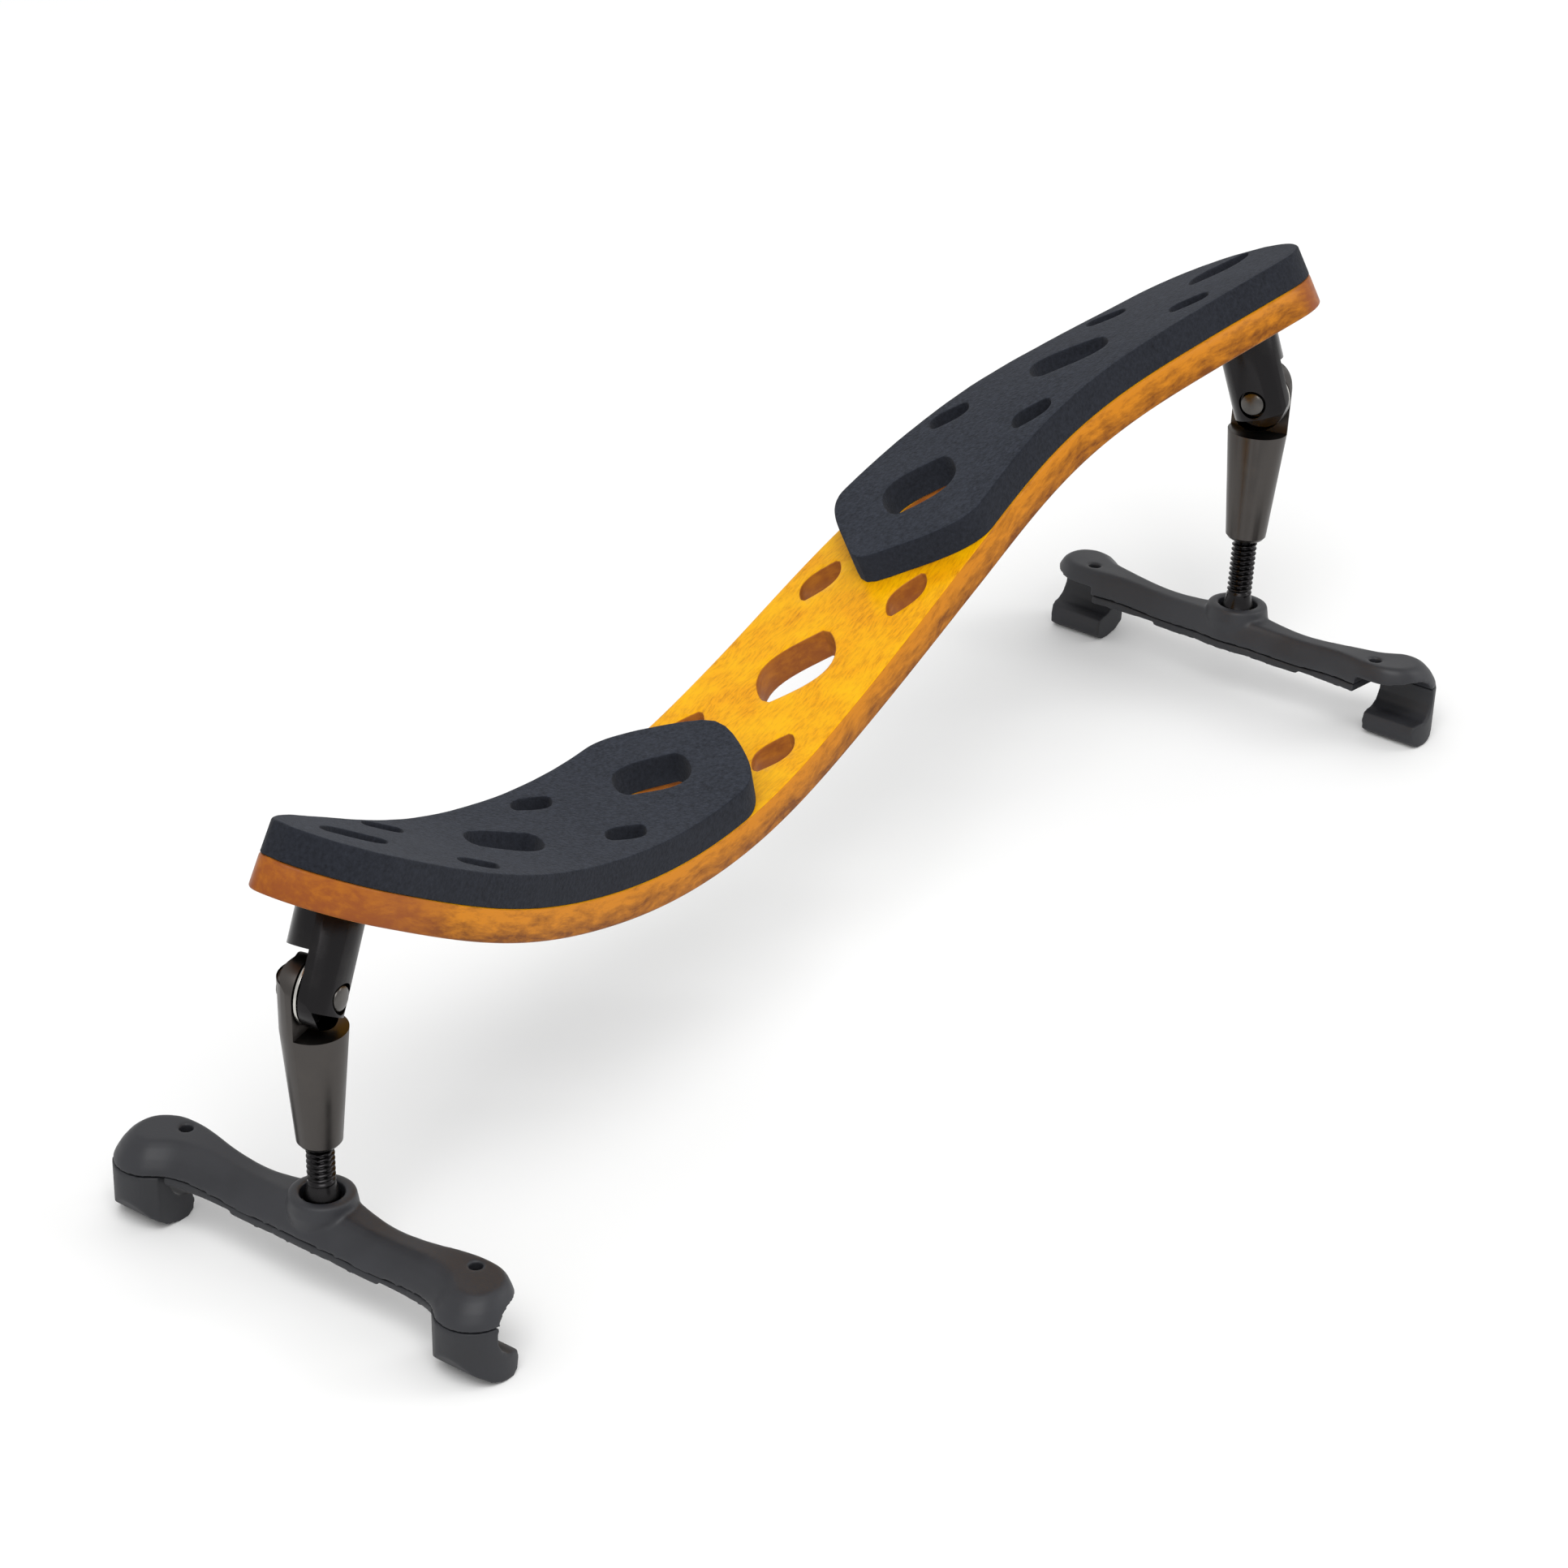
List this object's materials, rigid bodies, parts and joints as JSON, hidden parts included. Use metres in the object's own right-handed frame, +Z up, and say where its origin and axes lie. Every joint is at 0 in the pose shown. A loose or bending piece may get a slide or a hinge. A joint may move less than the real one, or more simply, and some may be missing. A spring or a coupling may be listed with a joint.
{
  "type": "violin shoulder rest",
  "caption": "Curved wooden shoulder rest for a violin, with foam pads and leaf-shaped holes, on folding height-adjustable legs that end in forks with rubber claws.",
  "frame": {"origin": "middle of the footprint, on the surface that the rubber claws stand on", "axes": "+X along the plate to its raised end over the leaning leg, +Y to the far long side, +Z up"},
  "size_m": [0.2283, 0.0675, 0.073],
  "materials": {
    "varnished_wood": "gloss",
    "foam": "matte",
    "black_anodised": "gloss",
    "bright_steel": "satin",
    "brass": "satin",
    "black_plastic": "matte",
    "rubber": "matte"
  },
  "bodies": {
    "plate": {"rest_plate": "varnished_wood", "long_foam_pad": "foam", "short_foam_pad": "foam", "left_socket_insert": "brass", "right_socket_insert": "brass"},
    "left_knuckle": {"left_upper_knuckle": "black_anodised", "left_hinge_pin": "black_anodised", "left_pin_nut": "black_anodised", "left_friction_washer": "bright_steel"},
    "left_leg": {"left_leg_sleeve": "black_anodised"},
    "left_hub": {"left_hub_bush": "brass", "left_screw_clip": "bright_steel"},
    "left_screw": {"left_height_screw": "black_anodised"},
    "left_fork": {"left_fork_frame": "black_plastic", "left_near_claw": "rubber", "left_far_claw": "rubber", "left_near_claw_pin": "bright_steel", "left_far_claw_pin": "bright_steel", "left_rubber_strip": "rubber"},
    "right_knuckle": {"right_upper_knuckle": "black_anodised", "right_hinge_pin": "black_anodised", "right_pin_nut": "black_anodised", "right_friction_washer": "bright_steel"},
    "right_leg": {"right_leg_sleeve": "black_anodised"},
    "right_hub": {"right_hub_bush": "brass", "right_screw_clip": "bright_steel"},
    "right_screw": {"right_height_screw": "black_anodised"},
    "right_fork": {"right_fork_frame": "black_plastic", "right_near_claw": "rubber", "right_far_claw": "rubber", "right_near_claw_pin": "bright_steel", "right_far_claw_pin": "bright_steel", "right_rubber_strip": "rubber"}
  },
  "joints": [
    {"name": "left_swivel", "type": "hinge", "parent": "plate", "child": "left_knuckle", "pos_m": [-0.10418, -0.00009, 0.04379], "axis": [0.5038, 0.1071, 0.8572], "continuous": true},
    {"name": "left_tilt", "type": "hinge", "parent": "left_knuckle", "child": "left_leg", "pos_m": [-0.10418, -0.00009, 0.04379], "axis": [-0.2079, 0.9781, 0], "range_deg": [-50, 40]},
    {"name": "left_height", "type": "slide", "parent": "left_leg", "child": "left_hub", "axis": [0, 0, -1], "range_m": [-0.004, 0.006]},
    {"name": "left_screw_turn", "type": "hinge", "parent": "left_hub", "child": "left_screw", "pos_m": [-0.10418, -0.00009, 0], "axis": [0, 0, -1], "range_deg": [-1801, 2701]},
    {"name": "left_fork_swivel", "type": "hinge", "parent": "left_hub", "child": "left_fork", "pos_m": [-0.10418, -0.00009, 0], "axis": [0, 0, 1], "continuous": true},
    {"name": "right_swivel", "type": "hinge", "parent": "plate", "child": "right_knuckle", "pos_m": [0.10697, -0.00014, 0.04687], "axis": [0.0348, 0.3325, 0.9425], "continuous": true},
    {"name": "right_tilt", "type": "hinge", "parent": "right_knuckle", "child": "right_leg", "pos_m": [0.10697, -0.00014, 0.04687], "axis": [0.9576, 0.2587, -0.1266], "range_deg": [-40, 50]},
    {"name": "right_height", "type": "slide", "parent": "right_leg", "child": "right_hub", "axis": [-0.1305, -0.0023, -0.9914], "range_m": [-0.004, 0.006]},
    {"name": "right_screw_turn", "type": "hinge", "parent": "right_hub", "child": "right_screw", "pos_m": [0.10084, -0.00025, 0.00034], "axis": [-0.1305, -0.0023, -0.9914], "range_deg": [-1801, 2701]},
    {"name": "right_fork_swivel", "type": "hinge", "parent": "right_hub", "child": "right_fork", "pos_m": [0.10084, -0.00025, 0.00034], "axis": [0.1305, 0.0023, 0.9914], "continuous": true}
  ],
  "couplings": [
    {"joint": "left_screw_turn", "follows": "left_height", "rad_per_m": 7854},
    {"joint": "right_screw_turn", "follows": "right_height", "rad_per_m": 7854}
  ]
}
